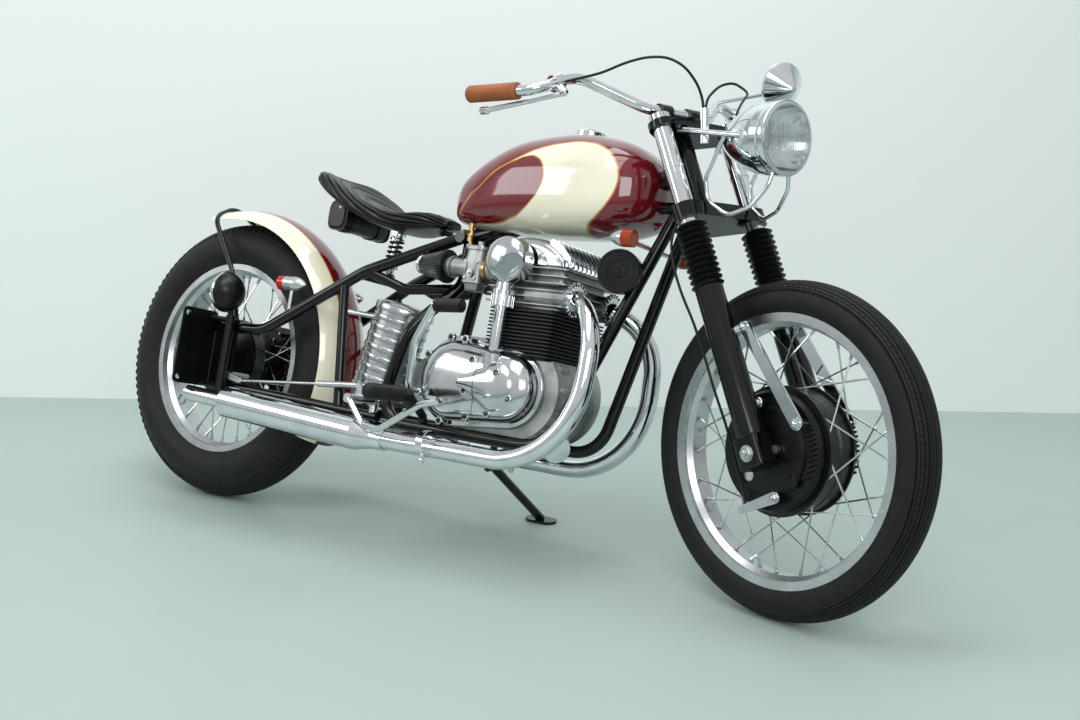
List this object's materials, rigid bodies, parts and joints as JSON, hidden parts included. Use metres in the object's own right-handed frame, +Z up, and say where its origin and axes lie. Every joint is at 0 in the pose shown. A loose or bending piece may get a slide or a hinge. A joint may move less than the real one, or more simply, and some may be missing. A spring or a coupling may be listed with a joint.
{
  "type": "bobber motorcycle",
  "caption": "Single-seat custom road motorcycle: upright twin engine, rigid rear frame, teardrop tank, spoked wheels, sprung saddle, steering fork and side stand.",
  "frame": {"origin": "centre of the bounding box on the floor under the parked motorcycle", "axes": "+X towards the front wheel, +Y to the rider's left, +Z up from the floor; it leans to +Y on its side stand with the steering turned to the right"},
  "size_m": [2.0926, 0.8482, 1.0303],
  "materials": {
    "black_fin_paint": "heat-proof black paint on cast iron",
    "black_frame_enamel": "gloss black enamel",
    "black_leather": "black stitched leather over foam",
    "cast_alloy": "as-cast aluminium alloy",
    "chain_steel": "oiled steel",
    "chrome_plate": "bright chrome plate",
    "cream_lacquer": "cream lacquer with a red crown",
    "deep_red_lacquer": "deep red and cream lacquer",
    "filter_cloth": "pleated steel gauze",
    "gaiter_rubber": "black moulded rubber",
    "hub_enamel": "black enamel",
    "lamp_glass": "fluted clear glass",
    "polished_alloy": "polished aluminium alloy",
    "roll_leather": "black saddle leather",
    "satin_black_plastic": "satin black plastic",
    "satin_rim_alloy": "satin silver alloy",
    "signal_shell": "satin silver shell with coloured lens",
    "tan_grip_rubber": "tan ribbed rubber",
    "tyre_rubber": "black tyre rubber"
  },
  "bodies": {
    "frame": {"air_filters": "filter_cloth", "backbone": "black_frame_enamel", "brake_pedal": "chrome_plate", "cam_cover": "polished_alloy", "cam_drive_tower": "polished_alloy", "carburettors": "cast_alloy", "crankcase": "cast_alloy", "cylinder_block": "black_fin_paint", "cylinder_head": "cast_alloy", "drive_chain": "chain_steel", "fender_stay": "black_frame_enamel", "foot_pegs": "gaiter_rubber", "front_signals": "signal_shell", "fuel_tank": "deep_red_lacquer", "gear_lever": "chrome_plate", "horn": "satin_black_plastic", "kick_starter": "chrome_plate", "left_cradle": "black_frame_enamel", "left_engine_cover": "polished_alloy", "left_exhaust": "chrome_plate", "left_rear_frame": "black_frame_enamel", "oil_canister": "polished_alloy", "plate_carrier": "satin_black_plastic", "rear_brake": "hub_enamel", "rear_fender": "cream_lacquer", "rear_signals": "signal_shell", "right_cradle": "black_frame_enamel", "right_engine_cover": "polished_alloy", "right_exhaust": "chrome_plate", "right_rear_frame": "black_frame_enamel", "seat": "black_leather", "seat_strut": "chrome_plate", "stand_bracket": "black_frame_enamel", "tail_lamp": "satin_black_plastic", "tank_cap": "chrome_plate", "tool_roll": "roll_leather"},
    "steering": {"fork_yokes": "black_frame_enamel", "fork_stanchions": "chrome_plate", "fork_gaiters": "gaiter_rubber", "fork_legs": "black_frame_enamel", "handlebar": "chrome_plate", "hand_grips": "tan_grip_rubber", "hand_levers": "chrome_plate", "headlamp_shell": "chrome_plate", "headlamp_lens": "lamp_glass", "lamp_bracket": "chrome_plate", "mirror": "chrome_plate", "front_brake_panels": "hub_enamel", "torque_links": "chrome_plate", "control_cables": "gaiter_rubber"},
    "front_wheel": {"front_tyre": "tyre_rubber", "front_rim": "satin_rim_alloy", "front_hub": "hub_enamel"},
    "rear_wheel": {"rear_tyre": "tyre_rubber", "rear_rim": "satin_rim_alloy", "rear_hub": "hub_enamel", "rear_sprocket": "chain_steel"},
    "side_stand": {"side_stand": "black_frame_enamel"}
  },
  "joints": [
    {"name": "steering", "type": "hinge", "parent": "frame", "child": "steering", "pos_m": [0.43686, -0.01191, 0.79433], "axis": [-0.454, 0.23, 0.8608], "range_deg": [-18.13, 51.87]},
    {"name": "front_wheel_spin", "type": "hinge", "parent": "steering", "child": "front_wheel", "pos_m": [0.74082, -0.15404, 0.31302], "axis": [0.2586, 0.9585, -0.1198], "continuous": true},
    {"name": "rear_wheel_spin", "type": "hinge", "parent": "frame", "child": "rear_wheel", "pos_m": [-0.71746, -0.13867, 0.31995], "axis": [0, 0.9661, -0.2581], "continuous": true},
    {"name": "side_stand_fold", "type": "hinge", "parent": "frame", "child": "side_stand", "pos_m": [0.00754, -0.08954, 0.16295], "axis": [-0.0099, 0.7014, 0.7127], "range_deg": [0, 98.12]}
  ]
}
